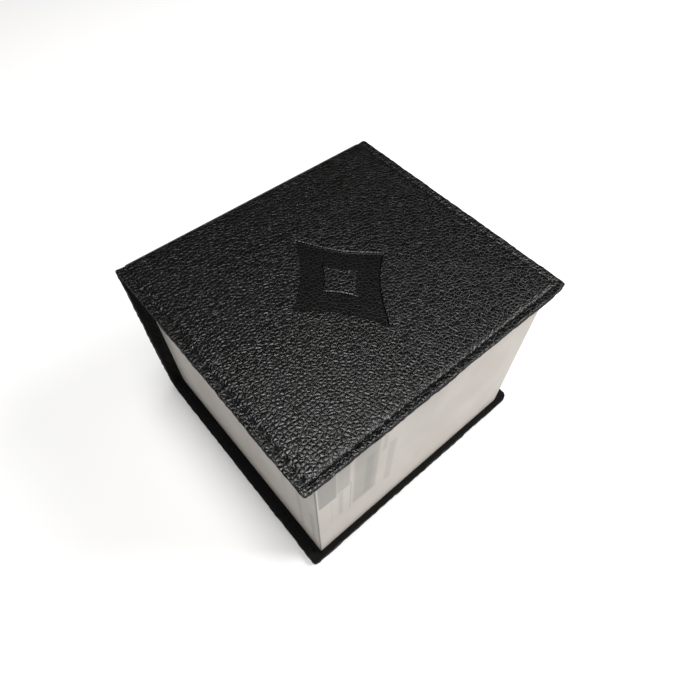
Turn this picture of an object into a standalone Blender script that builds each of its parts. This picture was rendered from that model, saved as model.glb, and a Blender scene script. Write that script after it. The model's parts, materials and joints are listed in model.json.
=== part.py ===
"""Book-style card deck box: a stitched leather cover around a rigid white tray.

Frame: the origin is under the middle of the cover, +X runs along the spine, +Y points at the
spine, -Y at the fore-edge and +Z up. The lid turns at the top of the spine, about an axis along X.
Units are metres. Every piece is its own object; the lid's pieces hang on the empty "lid_hinge".
"""

import math

import bmesh
import bpy
from mathutils import Vector

# ---- Driving dimensions -------------------------------------------------------------------------
# Cover, outside
COVER_WIDTH = 0.112
COVER_DEPTH = 0.104
COVER_HEIGHT = 0.0786
LEATHER = 0.0011
PANEL_BOARD = 0.0007
LINING = 0.0004
BASE_BEND = 0.0040
HINGE_BEND = 0.0030
HINGE_FLAT = 0.0030
LID_CORNER = 0.0018
BASE_CORNER = 0.0024
LID_CORNER_STEPS = 5

# Sewing: a row of stitches sunk in a shallow groove, on the outside and on the lining
SEAM_FROM_FORE_EDGE = 0.0025
SEAM_FROM_SIDE = 0.0030
SEAM_CORNER = 0.0010
SEAM_TO_BOARD = 0.0015
BEND_TO_BOARD = 0.0015
HINGE_TO_BOARD = 0.0006
GROOVE_WIDTH = 0.0010
GROOVE_DEPTH = 0.00045
THREAD_WIDTH = 0.0007
THREAD_HEIGHT = 0.00035

# Debossed diamond on the lid, as on playing cards, with a small diamond left standing in it
PIP_LENGTH = 0.0470
PIP_WIDTH = 0.0380
PIP_WAIST = 0.12
PIP_DEPTH = 0.00045
PIP_ISLAND = 0.42
PIP_CENTRE = (-0.0011, -0.0016)
PIP_SIDE_STEPS = 8

# Tray: greyboard walls wrapped in paper and lined with card
SIDE_OVERHANG = 0.0059
FORE_EDGE_OVERHANG = 0.0025
TRAY_SHIFT = -0.00095
WALL_BOARD = 0.0015
FLOOR_BOARD = 0.0015
WRAP_PAPER = 0.0002
WRAP_TURN_IN = 0.0150
WRAP_UNDER = 0.0120
LINER = 0.0003
LINER_BELOW_RIM = 0.0040
STAY_PAPER = 0.00015
STAY_LEG = 0.0120
STAY_SHORT = 0.0010

# Closing magnets: bars in the tray's front wall, thin plates in the lid's board
MAGNET_LENGTH = 0.0120
MAGNET_HEIGHT = 0.0050
MAGNET_THICKNESS = 0.0010
MAGNET_BELOW_EDGE = 0.0012
MAGNET_SPACING = 0.0560

# Clearances
GLUE_LINE = 0.0001
BUTT_GAP = 0.0001
POCKET_CLEARANCE = 0.0003
MAGNET_CLEARANCE = 0.00015
LID_CLEARANCE = 0.0004
HINGE_GAP = 0.0001
THREAD_CLEARANCE = 0.00005
CUT_THROUGH = 0.0010

# ---- Places worked out from them ----------------------------------------------------------------
COVER = LEATHER + GLUE_LINE + PANEL_BOARD + GLUE_LINE + LINING
LEFT = -COVER_WIDTH / 2
RIGHT = COVER_WIDTH / 2
FRONT = -COVER_DEPTH / 2
REAR = COVER_DEPTH / 2
TOP = COVER_HEIGHT

LID_REAR = REAR - HINGE_BEND - HINGE_FLAT - HINGE_GAP
SPINE_TOP = TOP - HINGE_BEND - HINGE_GAP
HINGE_AXIS = Vector((0.0, REAR - HINGE_BEND / 2, TOP - HINGE_BEND / 4))

LINING_OUT = LEATHER + GLUE_LINE
BOARD_IN = LINING_OUT + PANEL_BOARD
POCKET_FLOOR = COVER - LINING
BOARD_FROM_SIDE = SEAM_FROM_SIDE + SEAM_TO_BOARD
BOARD_FROM_FORE_EDGE = SEAM_FROM_FORE_EDGE + SEAM_TO_BOARD

TRAY_LEFT = LEFT + SIDE_OVERHANG + TRAY_SHIFT
TRAY_RIGHT = RIGHT - SIDE_OVERHANG + TRAY_SHIFT
TRAY_FRONT = FRONT + FORE_EDGE_OVERHANG
TRAY_REAR = REAR - COVER - GLUE_LINE
TRAY_BOTTOM = COVER + GLUE_LINE
RIM = TOP - COVER - LID_CLEARANCE
TRAY_MIDDLE = (TRAY_LEFT + TRAY_RIGHT) / 2

# Depths into the tray's wall, counted from the wrap's outer face
STAY_OUT = WRAP_PAPER + GLUE_LINE
WALL_OUT = STAY_OUT + STAY_PAPER + GLUE_LINE
WALL_IN = WALL_OUT + WALL_BOARD
WRAP_IN = WALL_IN + GLUE_LINE + WRAP_PAPER
LINER_OUT = WRAP_IN + GLUE_LINE
LINER_IN = LINER_OUT + LINER

BOARD_BOTTOM = TRAY_BOTTOM + WRAP_PAPER + GLUE_LINE
BOARD_TOP = RIM - WRAP_PAPER - GLUE_LINE
FLOOR_TOP = BOARD_BOTTOM + FLOOR_BOARD


# ---- Small tools --------------------------------------------------------------------------------
def clear_scene():
    for old in list(bpy.data.objects):
        bpy.data.objects.remove(old, do_unlink=True)


def finish(name, colour, roughness, metallic=0.0):
    """A Principled material of one finish."""
    made = bpy.data.materials.new(name)
    made.use_nodes = True
    shader = made.node_tree.nodes["Principled BSDF"]
    shader.inputs["Base Color"].default_value = (*colour, 1.0)
    shader.inputs["Roughness"].default_value = roughness
    shader.inputs["Metallic"].default_value = metallic
    return made


def add_object(name, bm, look, hinge=None):
    """Turns a bmesh into a named object, outward facing, on the hinge empty if one is given."""
    bmesh.ops.recalc_face_normals(bm, faces=bm.faces)
    mesh = bpy.data.meshes.new(name)
    bm.to_mesh(mesh)
    bm.free()
    mesh.materials.append(look)
    mesh.shade_smooth()
    mesh.set_sharp_from_angle(angle=math.radians(30))
    made = bpy.data.objects.new(name, mesh)
    bpy.context.scene.collection.objects.link(made)
    if hinge is not None:
        made.parent = hinge
        made.matrix_parent_inverse = hinge.matrix_world.inverted()
    return made


def block(low, high):
    """A box between two corners."""
    bm = bmesh.new()
    bmesh.ops.create_cube(bm, size=1.0)
    middle = (Vector(low) + Vector(high)) / 2
    size = Vector(high) - Vector(low)
    bmesh.ops.scale(bm, vec=size, verts=bm.verts)
    bmesh.ops.translate(bm, vec=middle, verts=bm.verts)
    return bm


def prism(outline, lift):
    """A closed outline of 3-D points, extruded by the vector lift."""
    bm = bmesh.new()
    base = bm.faces.new([bm.verts.new(point) for point in outline])
    raised = bmesh.ops.extrude_face_region(bm, geom=[base])["geom"]
    moved = [item for item in raised if isinstance(item, bmesh.types.BMVert)]
    bmesh.ops.translate(bm, vec=lift, verts=moved)
    return bm


def arc(centre, radius, start, end, steps):
    """Points on an arc in a plane, from start to end in degrees, both ends included."""
    turns = (math.radians(start + (end - start) * step / steps) for step in range(steps + 1))
    return [(centre[0] + radius * math.cos(a), centre[1] + radius * math.sin(a)) for a in turns]


def cut(target, cutter_bm, name):
    """Cuts a hidden wire-frame body out of the target, exactly."""
    cutter = add_object(name, cutter_bm, target.data.materials[0])
    cutter.hide_render = True
    cutter.display_type = "WIRE"
    boolean = target.modifiers.new(name, "BOOLEAN")
    boolean.operation = "DIFFERENCE"
    boolean.solver = "EXACT"
    boolean.object = cutter


def sweep(points, normals, section):
    """Carries a flat section along a path with mitred corners.

    normals holds one surface normal for each stretch between two points. The section's points are
    (side, up): across the path, and out along the surface normal.
    """
    bm = bmesh.new()
    stretches = [(b - a).normalized() for a, b in zip(points, points[1:])]
    rings = []
    for index, point in enumerate(points):
        along = stretches[max(index - 1, 0)]
        normal = normals[max(index - 1, 0)]
        mitre = (along + stretches[min(index, len(stretches) - 1)]).normalized()
        side = along.cross(normal)
        ring = []
        for across, up in section:
            offset = side * across + normal * up
            offset -= along * (offset.dot(mitre) / along.dot(mitre))
            ring.append(bm.verts.new(point + offset))
        rings.append(ring)
    for near, far in zip(rings, rings[1:]):
        for k in range(len(section)):
            after = (k + 1) % len(section)
            bm.faces.new([near[k], near[after], far[after], far[k]])
    bm.faces.new(rings[0])
    bm.faces.new(reversed(rings[-1]))
    return bm


# ---- Sections and paths shared by the sewn pieces -----------------------------------------------
GROOVE_SECTION = [
    (-GROOVE_WIDTH / 2, -GROOVE_DEPTH),
    (GROOVE_WIDTH / 2, -GROOVE_DEPTH),
    (GROOVE_WIDTH / 2, CUT_THROUGH),
    (-GROOVE_WIDTH / 2, CUT_THROUGH),
]


def thread_section():
    """A flattened octagon lying on the groove's floor."""
    low = -GROOVE_DEPTH + THREAD_CLEARANCE
    middle = low + THREAD_HEIGHT / 2
    corners = (math.radians(22.5 + 45 * k) for k in range(8))
    reach = 1 / math.cos(math.radians(22.5))
    return [
        (THREAD_WIDTH / 2 * reach * math.cos(a), middle + THREAD_HEIGHT / 2 * reach * math.sin(a))
        for a in corners
    ]


def fore_edge_turns(level):
    """The seam's way around the two front corners, at one height, from left to right."""
    left = LEFT + SEAM_FROM_SIDE + SEAM_CORNER
    right = RIGHT - SEAM_FROM_SIDE - SEAM_CORNER
    front = FRONT + SEAM_FROM_FORE_EDGE + SEAM_CORNER
    turns = arc((left, front), SEAM_CORNER, 180, 270, 3) + arc((right, front), SEAM_CORNER, 270, 360, 3)
    return [Vector((x, y, level)) for x, y in turns]


def lid_seam(level, normal, rear):
    """U-shaped seam on a face of the lid: points, and one normal for each stretch."""
    start = Vector((LEFT + SEAM_FROM_SIDE, rear, level))
    end = Vector((RIGHT - SEAM_FROM_SIDE, rear, level))
    points = [start, *fore_edge_turns(level), end]
    return points, [Vector(normal)] * (len(points) - 1)


def back_seam(depth, bend, sign, top):
    """Seam down one side of the spine, around the base and up the other side.

    depth is the face's distance inside the cover's outer face, bend the bend's radius on that
    face, and sign is 1 where the face looks outwards and -1 on the lining.
    """
    x = LEFT + SEAM_FROM_SIDE
    steps = 6 if bend > 0 else 0
    down = [(REAR - depth, top)]
    if steps:
        down += arc((REAR - depth - bend, depth + bend), bend, 0, -90, steps)
    else:
        down += [(REAR - depth, depth)]
    left = [Vector((x, y, z)) for y, z in down]
    right = [Vector((-x, y, z)) for y, z in reversed(down)]
    points = left + fore_edge_turns(depth) + right
    normals = []
    for a, b in zip(points, points[1:]):
        run = (b - a).normalized()
        if abs(run.z) < 1e-6:
            normals.append(Vector((0, 0, -sign)))
        else:
            forward = 1 if run.z > 0 else -1
            normals.append(Vector((0, run.z, -run.y)) * forward * sign)
    return points, normals


# ---- Lid: leather, board, lining, two threads and two magnet plates -----------------------------
def plan_outline(level, rear, radius):
    """The lid's outline at one height, with rounded front corners."""
    steps = LID_CORNER_STEPS
    corners = arc((LEFT + radius, FRONT + radius), radius, 180, 270, steps)
    corners += arc((RIGHT - radius, FRONT + radius), radius, 270, 360, steps)
    flat = [(LEFT, rear), *corners, (RIGHT, rear)]
    return [(x, y, level) for x, y in flat]


def pip_outline(scale, level):
    """A card-suit diamond with sides that curve inwards, at one height."""
    tips = [(PIP_WIDTH / 2, 0), (0, PIP_LENGTH / 2), (-PIP_WIDTH / 2, 0), (0, -PIP_LENGTH / 2)]
    points = []
    for index, start in enumerate(tips):
        end = tips[(index + 1) % len(tips)]
        for step in range(PIP_SIDE_STEPS):
            t = step / PIP_SIDE_STEPS
            pull = 1 - PIP_WAIST * math.sin(math.pi * t)
            x = (start[0] * (1 - t) + end[0] * t) * pull
            y = (start[1] * (1 - t) + end[1] * t) * pull
            points.append(Vector((PIP_CENTRE[0] + x * scale, PIP_CENTRE[1] + y * scale, level)))
    return points


def pip_cutter():
    """A diamond-shaped ring, closed, that sinks the pip and leaves its middle standing."""
    bm = bmesh.new()
    floor = TOP - PIP_DEPTH
    ceiling = TOP + CUT_THROUGH
    outlines = [(1.0, floor), (1.0, ceiling), (PIP_ISLAND, ceiling), (PIP_ISLAND, floor)]
    loops = [[bm.verts.new(p) for p in pip_outline(scale, z)] for scale, z in outlines]
    count = len(loops[0])
    for near, far in zip(loops, loops[1:] + loops[:1]):
        for k in range(count):
            after = (k + 1) % count
            bm.faces.new([near[k], near[after], far[after], far[k]])
    return bm


def build_lid(looks, hinge):
    leather_low = TOP - LEATHER
    leather = prism(plan_outline(leather_low, LID_REAR, LID_CORNER), Vector((0, 0, LEATHER)))
    lid_leather = add_object("lid_leather", leather, looks["leather"], hinge)
    cut(lid_leather, pip_cutter(), "pip_cutter")
    path = lid_seam(TOP, (0, 0, 1), LID_REAR + CUT_THROUGH)
    cut(lid_leather, sweep(*path, GROOVE_SECTION), "lid_leather_groove_cutter")

    path = lid_seam(TOP, (0, 0, 1), LID_REAR)
    add_object("lid_needle_thread", sweep(*path, thread_section()), looks["thread"], hinge)

    low = (LEFT + BOARD_FROM_SIDE, FRONT + BOARD_FROM_FORE_EDGE, TOP - BOARD_IN)
    high = (RIGHT - BOARD_FROM_SIDE, LID_REAR - HINGE_TO_BOARD, TOP - LINING_OUT)
    lid_board = add_object("lid_board", block(low, high), looks["greyboard"], hinge)

    under = TOP - COVER
    lining = prism(plan_outline(under, LID_REAR, LID_CORNER), Vector((0, 0, COVER - LINING_OUT)))
    lid_lining = add_object("lid_lining", lining, looks["lining"], hinge)
    clear = POCKET_CLEARANCE
    pocket_low = (low[0] - clear, low[1] - clear, TOP - POCKET_FLOOR)
    pocket_high = (high[0] + clear, high[1] + clear, TOP - LINING_OUT + CUT_THROUGH)
    cut(lid_lining, block(pocket_low, pocket_high), "lid_lining_pocket_cutter")
    path = lid_seam(under, (0, 0, -1), LID_REAR + CUT_THROUGH)
    cut(lid_lining, sweep(*path, GROOVE_SECTION), "lid_lining_groove_cutter")

    path = lid_seam(under, (0, 0, -1), LID_REAR)
    add_object("lid_bobbin_thread", sweep(*path, thread_section()), looks["thread"], hinge)

    front = low[1] + MAGNET_BELOW_EDGE
    for side, centre in magnet_places():
        plate_low = Vector((centre - MAGNET_LENGTH / 2, front, low[2]))
        plate_high = Vector((centre + MAGNET_LENGTH / 2, front + MAGNET_HEIGHT, high[2]))
        add_object(f"lid_magnet_{side}", block(plate_low, plate_high), looks["magnet"], hinge)
        room = Vector((MAGNET_CLEARANCE, MAGNET_CLEARANCE, CUT_THROUGH))
        window = block(plate_low - room, plate_high + room)
        cut(lid_board, window, f"lid_board_{side}_window_cutter")


def magnet_places():
    """The two magnets' names and their middles along the fore-edge."""
    half = MAGNET_SPACING / 2
    return [("left", TRAY_MIDDLE - half), ("right", TRAY_MIDDLE + half)]


# ---- Hinge: the strips of leather and lining that bend between the spine and the lid's board ----
def build_hinge_strips(looks):
    centre = (REAR - HINGE_BEND, TOP - HINGE_BEND)
    end = centre[0] - HINGE_FLAT
    outer = arc(centre, HINGE_BEND, 0, 90, 8)
    inner = arc(centre, HINGE_BEND - LEATHER, 90, 0, 8)
    outline = [(LEFT, y, z) for y, z in [*outer, (end, TOP), (end, TOP - LEATHER), *inner]]
    strip = prism(outline, Vector((COVER_WIDTH, 0, 0)))
    add_object("hinge_leather", strip, looks["leather"])

    outer = arc(centre, HINGE_BEND - LINING_OUT, 0, 90, 8)
    on_lid = [(end, TOP - LINING_OUT), (end, TOP - COVER)]
    inner = [(REAR - COVER, TOP - COVER), (REAR - COVER, centre[1])]
    outline = [(LEFT, y, z) for y, z in outer + on_lid + inner]
    strip = prism(outline, Vector((COVER_WIDTH, 0, 0)))
    add_object("hinge_lining", strip, looks["lining"])


# ---- Back: spine and base in one bent panel of leather, boards and lining -----------------------
def bent_panel(outer, inner, round_inside):
    """Spine and base between two depths inside the cover's outer face, with rounded corners."""
    centre = (REAR - BASE_BEND, BASE_BEND)
    profile = [(REAR - outer, SPINE_TOP), *arc(centre, BASE_BEND - outer, 0, -90, 8)]
    profile += [(FRONT, outer), (FRONT, inner)]
    if round_inside:
        profile += arc(centre, BASE_BEND - inner, -90, 0, 8)
    else:
        profile += [(REAR - inner, inner)]
    profile += [(REAR - inner, SPINE_TOP)]
    bm = prism([(LEFT, y, z) for y, z in profile], Vector((COVER_WIDTH, 0, 0)))
    corners = [
        edge
        for edge in bm.edges
        if all(abs(v.co.y - FRONT) < 1e-6 for v in edge.verts)
        and abs(edge.verts[0].co.x - edge.verts[1].co.x) < 1e-6
    ]
    bmesh.ops.bevel(bm, geom=corners, offset=BASE_CORNER, segments=6, profile=0.5, affect="EDGES")
    return bm


def build_back(looks):
    back_leather = add_object("back_leather", bent_panel(0.0, LEATHER, True), looks["leather"])
    path = back_seam(0.0, BASE_BEND, 1, SPINE_TOP + CUT_THROUGH)
    cut(back_leather, sweep(*path, GROOVE_SECTION), "back_leather_groove_cutter")

    path = back_seam(0.0, BASE_BEND, 1, SPINE_TOP)
    add_object("back_needle_thread", sweep(*path, thread_section()), looks["thread"])

    left = LEFT + BOARD_FROM_SIDE
    right = RIGHT - BOARD_FROM_SIDE
    bend_end = BASE_BEND + BEND_TO_BOARD
    spine_low = (left, REAR - BOARD_IN, bend_end)
    spine_high = (right, REAR - LINING_OUT, SPINE_TOP - BEND_TO_BOARD)
    add_object("spine_board", block(spine_low, spine_high), looks["greyboard"])
    base_low = (left, FRONT + BOARD_FROM_FORE_EDGE, LINING_OUT)
    base_high = (right, REAR - bend_end, BOARD_IN)
    add_object("base_board", block(base_low, base_high), looks["greyboard"])

    back_lining = add_object("back_lining", bent_panel(LINING_OUT, COVER, False), looks["lining"])
    clear = POCKET_CLEARANCE
    low = (spine_low[0] - clear, REAR - POCKET_FLOOR, spine_low[2] - clear)
    high = (spine_high[0] + clear, REAR - LINING_OUT + CUT_THROUGH, spine_high[2] + clear)
    cut(back_lining, block(low, high), "spine_pocket_cutter")
    low = (base_low[0] - clear, base_low[1] - clear, LINING_OUT - CUT_THROUGH)
    high = (base_high[0] + clear, base_high[1] + clear, POCKET_FLOOR)
    cut(back_lining, block(low, high), "base_pocket_cutter")
    path = back_seam(COVER, 0.0, -1, SPINE_TOP + CUT_THROUGH)
    cut(back_lining, sweep(*path, GROOVE_SECTION), "back_lining_groove_cutter")

    path = back_seam(COVER, 0.0, -1, SPINE_TOP)
    add_object("back_bobbin_thread", sweep(*path, thread_section()), looks["thread"])


# ---- Tray: boards, corner stays, paper wrap, card liners and magnets ----------------------------
def tray_block(left_in, right_in, front_in, rear_in, bottom, top):
    """A box given by its depths inside the wrap's four outer faces, and two heights."""
    low = (TRAY_LEFT + left_in, TRAY_FRONT + front_in, bottom)
    high = (TRAY_RIGHT - right_in, TRAY_REAR - rear_in, top)
    return block(low, high)


def tray_panel(side, outer, inner, end, bottom, top):
    """An upright panel on one side of the tray, between two depths, stopping end from its ends."""
    width = TRAY_RIGHT - TRAY_LEFT
    depth = TRAY_REAR - TRAY_FRONT
    spans = {
        "front": (end, end, outer, depth - inner),
        "rear": (end, end, depth - inner, outer),
        "left": (outer, width - inner, end, end),
        "right": (width - inner, outer, end, end),
    }
    return tray_block(*spans[side], bottom, top)


def build_tray_boards(looks):
    between = WALL_IN + BUTT_GAP
    floor = tray_block(between, between, between, between, BOARD_BOTTOM, FLOOR_TOP)
    add_object("tray_floor_board", floor, looks["greyboard"])
    for side, end in (("front", WALL_OUT), ("rear", WALL_OUT), ("left", between), ("right", between)):
        wall = tray_panel(side, WALL_OUT, WALL_IN, end, BOARD_BOTTOM, BOARD_TOP)
        made = add_object(f"tray_{side}_wall", wall, looks["greyboard"])
        if side == "front":
            add_tray_magnets(made, looks)


def add_tray_magnets(front_wall, looks):
    outer = TRAY_FRONT + WALL_OUT
    top = BOARD_TOP - MAGNET_BELOW_EDGE
    for side, centre in magnet_places():
        low = Vector((centre - MAGNET_LENGTH / 2, outer, top - MAGNET_HEIGHT))
        high = Vector((centre + MAGNET_LENGTH / 2, outer + MAGNET_THICKNESS, top))
        add_object(f"tray_magnet_{side}", block(low, high), looks["magnet"])
        room = Vector((MAGNET_CLEARANCE,) * 3)
        seat = block(low - room - Vector((0, CUT_THROUGH, 0)), high + room)
        cut(front_wall, seat, f"tray_magnet_{side}_seat_cutter")


def build_corner_stays(looks):
    """Four paper angles glued over the joints of the walls, under the wrap."""
    bottom = BOARD_BOTTOM + STAY_SHORT
    height = BOARD_TOP - STAY_SHORT - bottom
    corners = {
        "front_left": (TRAY_LEFT, TRAY_FRONT, 1, 1),
        "front_right": (TRAY_RIGHT, TRAY_FRONT, -1, 1),
        "rear_left": (TRAY_LEFT, TRAY_REAR, 1, -1),
        "rear_right": (TRAY_RIGHT, TRAY_REAR, -1, -1),
    }
    outer = STAY_OUT
    inner = STAY_OUT + STAY_PAPER
    angle = [
        (outer, outer),
        (STAY_LEG, outer),
        (STAY_LEG, inner),
        (inner, inner),
        (inner, STAY_LEG),
        (outer, STAY_LEG),
    ]
    for name, (x, y, x_way, y_way) in corners.items():
        outline = [(x + a * x_way, y + b * y_way, bottom) for a, b in angle]
        stay = prism(outline, Vector((0, 0, height)))
        add_object(f"tray_stay_{name}", stay, looks["stay"])


def build_wrap(looks):
    """One sheet around the walls, turned in over the rim and under the floor."""
    paper = WRAP_PAPER
    profile = [
        (0.0, TRAY_BOTTOM),
        (0.0, RIM),
        (WRAP_IN, RIM),
        (WRAP_IN, RIM - WRAP_TURN_IN),
        (WRAP_IN - paper, RIM - WRAP_TURN_IN),
        (WRAP_IN - paper, RIM - paper),
        (paper, RIM - paper),
        (paper, TRAY_BOTTOM + paper),
        (WRAP_UNDER, TRAY_BOTTOM + paper),
        (WRAP_UNDER, TRAY_BOTTOM),
    ]
    bm = bmesh.new()
    loops = []
    for depth, z in profile:
        x0, x1 = TRAY_LEFT + depth, TRAY_RIGHT - depth
        y0, y1 = TRAY_FRONT + depth, TRAY_REAR - depth
        loops.append([bm.verts.new((x, y, z)) for x, y in ((x0, y0), (x1, y0), (x1, y1), (x0, y1))])
    for near, far in zip(loops, loops[1:] + loops[:1]):
        for k in range(4):
            bm.faces.new([near[k], near[(k + 1) % 4], far[(k + 1) % 4], far[k]])
    add_object("tray_wrap", bm, looks["wrap"])


def build_liners(looks):
    bottom = FLOOR_TOP + GLUE_LINE
    top = RIM - LINER_BELOW_RIM
    between = LINER_IN + BUTT_GAP
    for side, end in (("front", LINER_OUT), ("rear", LINER_OUT), ("left", between), ("right", between)):
        panel = tray_panel(side, LINER_OUT, LINER_IN, end, bottom, top)
        add_object(f"tray_{side}_liner", panel, looks["liner"])
    floor = tray_block(between, between, between, between, bottom, bottom + LINER)
    add_object("tray_floor_liner", floor, looks["liner"])


# ---- Assembly -----------------------------------------------------------------------------------
def main():
    clear_scene()
    looks = {
        "leather": finish("black_pebbled_leather", (0.012, 0.012, 0.013), 0.45),
        "lining": finish("black_lining", (0.016, 0.016, 0.017), 0.85),
        "thread": finish("black_thread", (0.02, 0.02, 0.021), 0.6),
        "greyboard": finish("greyboard", (0.30, 0.28, 0.25), 0.9),
        "stay": finish("kraft_stay_paper", (0.45, 0.33, 0.2), 0.85),
        "wrap": finish("white_wrap_paper", (0.74, 0.70, 0.66), 0.6),
        "liner": finish("black_liner_card", (0.03, 0.03, 0.032), 0.8),
        "magnet": finish("nickel_plated_magnet", (0.6, 0.59, 0.57), 0.3, 1.0),
    }
    hinge = bpy.data.objects.new("lid_hinge", None)
    hinge.location = HINGE_AXIS
    hinge.empty_display_size = COVER_WIDTH / 2
    bpy.context.scene.collection.objects.link(hinge)
    bpy.context.view_layer.update()

    build_lid(looks, hinge)
    build_hinge_strips(looks)
    build_back(looks)
    build_tray_boards(looks)
    build_corner_stays(looks)
    build_wrap(looks)
    build_liners(looks)


main()
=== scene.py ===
import json
import math
import random

import bmesh
import bpy
from mathutils import Matrix, Vector, noise


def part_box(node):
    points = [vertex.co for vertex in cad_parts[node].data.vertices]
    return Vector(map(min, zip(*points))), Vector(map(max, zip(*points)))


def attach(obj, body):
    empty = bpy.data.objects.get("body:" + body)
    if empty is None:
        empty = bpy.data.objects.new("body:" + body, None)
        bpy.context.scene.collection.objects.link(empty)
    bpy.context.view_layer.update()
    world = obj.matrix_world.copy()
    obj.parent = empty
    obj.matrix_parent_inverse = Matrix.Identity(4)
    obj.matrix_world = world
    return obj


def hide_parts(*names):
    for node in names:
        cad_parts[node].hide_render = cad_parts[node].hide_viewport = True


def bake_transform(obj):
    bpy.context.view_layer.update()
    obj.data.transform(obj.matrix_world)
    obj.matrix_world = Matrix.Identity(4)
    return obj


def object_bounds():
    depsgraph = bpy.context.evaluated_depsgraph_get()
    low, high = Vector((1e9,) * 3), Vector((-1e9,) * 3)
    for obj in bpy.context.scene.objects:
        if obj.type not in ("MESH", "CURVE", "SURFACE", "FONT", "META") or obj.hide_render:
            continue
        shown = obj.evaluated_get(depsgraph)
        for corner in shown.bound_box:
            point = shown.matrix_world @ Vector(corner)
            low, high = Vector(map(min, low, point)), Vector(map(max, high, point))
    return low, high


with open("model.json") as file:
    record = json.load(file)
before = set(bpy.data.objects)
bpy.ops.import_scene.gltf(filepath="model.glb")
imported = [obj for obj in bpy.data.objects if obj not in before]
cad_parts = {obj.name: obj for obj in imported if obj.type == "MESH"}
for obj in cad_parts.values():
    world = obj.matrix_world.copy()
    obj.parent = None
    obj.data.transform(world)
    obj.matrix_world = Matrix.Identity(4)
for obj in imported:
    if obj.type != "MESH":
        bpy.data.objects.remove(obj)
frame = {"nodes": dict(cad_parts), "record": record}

cad_low, cad_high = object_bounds()

# ---- Viewpoint ----------------------------------------------------------------------------------
# A hand-held camera close above the near corner of the lid, looking down across the box, so that
# the fore-edge and the left side of the tray show under the lid's overhang.
VIEW_FROM = Vector((-0.0780, -0.0921, 0.2140))
VIEW_ALONG = Vector((0.3748, 0.4121, -0.8305)).normalized()
VIEW_UP = Vector((0.5372, 0.6336, 0.5568))

camera_data = bpy.data.cameras.new("camera")
camera_data.sensor_width = 36.0
camera_data.lens = 27.57
camera_data.clip_start = 0.005
camera = bpy.data.objects.new("camera", camera_data)
bpy.context.scene.collection.objects.link(camera)
view_right = VIEW_ALONG.cross(VIEW_UP).normalized()
view_up = view_right.cross(VIEW_ALONG)
camera.matrix_world = Matrix.Translation(VIEW_FROM) @ Matrix(
    (view_right, view_up, -VIEW_ALONG)
).transposed().to_4x4()
bpy.context.scene.camera = camera
bpy.context.scene.view_settings.view_transform = "Standard"

# ---- Table and light ----------------------------------------------------------------------------
# A plain white table top under two soft boxes overhead, the stronger glint falling on the near
# corner of the lid. A third at the right of the fore-edge throws the soft shadow to the left.
FLOOR_SIZE = 6.0
AIM = (0.0, 0.0, 0.04)
OVERHEAD_POWER = 7.9
CAMERA_SIDE_POWER = 5.2
RIGHT_POWER = 6.9
SURROUND_STRENGTH = 0.02
TABLE_WHITE = (0.95, 0.95, 0.95, 1.0)


def add_node(tree, kind, values=None, **settings):
    """A shader node with its settings, its plain input values, and its links from sockets."""
    made = tree.nodes.new(kind)
    for name, value in settings.items():
        setattr(made, name, value)
    for name, value in (values or {}).items():
        if isinstance(value, bpy.types.NodeSocket):
            tree.links.new(value, made.inputs[name])
        else:
            made.inputs[name].default_value = value
    return made


def new_material(name, **plain):
    """A material with one Principled shader, whose plain sockets are set here."""
    made = bpy.data.materials.new(name)
    made.use_nodes = True
    shader = made.node_tree.nodes["Principled BSDF"]
    for socket, value in plain.items():
        shader.inputs[socket.replace("_", " ")].default_value = value
    return made, made.node_tree, shader


def soft_box(name, place, aim, width, power, tint):
    """A square area light that faces the point aim."""
    data = bpy.data.lights.new(name, "AREA")
    data.size = width
    data.energy = power
    data.color = tint
    lamp = bpy.data.objects.new(name, data)
    bpy.context.scene.collection.objects.link(lamp)
    lamp.location = place
    lamp.rotation_euler = (Vector(aim) - Vector(place)).to_track_quat("-Z", "Y").to_euler()


bpy.ops.object.select_all(action="DESELECT")
bpy.ops.mesh.primitive_plane_add(size=FLOOR_SIZE)
table_top = bpy.context.object
table_top.name = "table_top"
table_white, tree, shader = new_material("table_white", Roughness=0.9)
shader.inputs["Base Color"].default_value = TABLE_WHITE
table_top.data.materials.append(table_white)

soft_box("overhead_soft_box", (0.02, 0.06, 1.15), AIM, 0.42, OVERHEAD_POWER, (1.0, 0.99, 0.98))
soft_box("camera_side_soft_box", (-0.10, -0.19, 1.10), AIM, 0.44, CAMERA_SIDE_POWER, (1.0, 1.0, 1.0))
soft_box("right_soft_box", (0.62, -0.40, 0.62), AIM, 0.45, RIGHT_POWER, (1.0, 0.99, 0.98))

surround = bpy.data.worlds.new("surround")
bpy.context.scene.world = surround
surround.use_nodes = True
surround.node_tree.nodes["Background"].inputs["Color"].default_value = (0.98, 0.99, 1.0, 1.0)
surround.node_tree.nodes["Background"].inputs["Strength"].default_value = SURROUND_STRENGTH

# ---- Leather cover ------------------------------------------------------------------------------
# One piece of black pebbled cowhide, cut flat, pressed with a card-suit diamond, sewn along its
# edges and wrapped around the tray: lid, spine and base. Its cut edges are left raw. It is made
# flat here too: x across, y along the hide from the lid's fore-edge, z up out of the grain side.
LEATHER = 0.0011
BASE_BEND = 0.0055
LID_CORNER = 0.0018
BASE_CORNER_LEFT = 0.0017
BASE_CORNER_RIGHT = 0.0032
SEAM_FROM_SIDE = 0.0030
SEAM_FROM_FORE_EDGE = 0.0025
STITCH_PITCH = 0.0038
LINES_PER_STITCH = 4
GROOVE_WIDTH = 0.00055
GROOVE_BETWEEN = 0.00010
GROOVE_AT_STITCH = 0.00055
EDGE_LINES = (0.0, 0.00025, 0.0007)
EDGE_ROLL = (0.00010, 0.00001, 0.0)
CUT_WANDER = 0.00019
CUT_LEAN = 400.0
SMOOTH_ANGLE = 42

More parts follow.
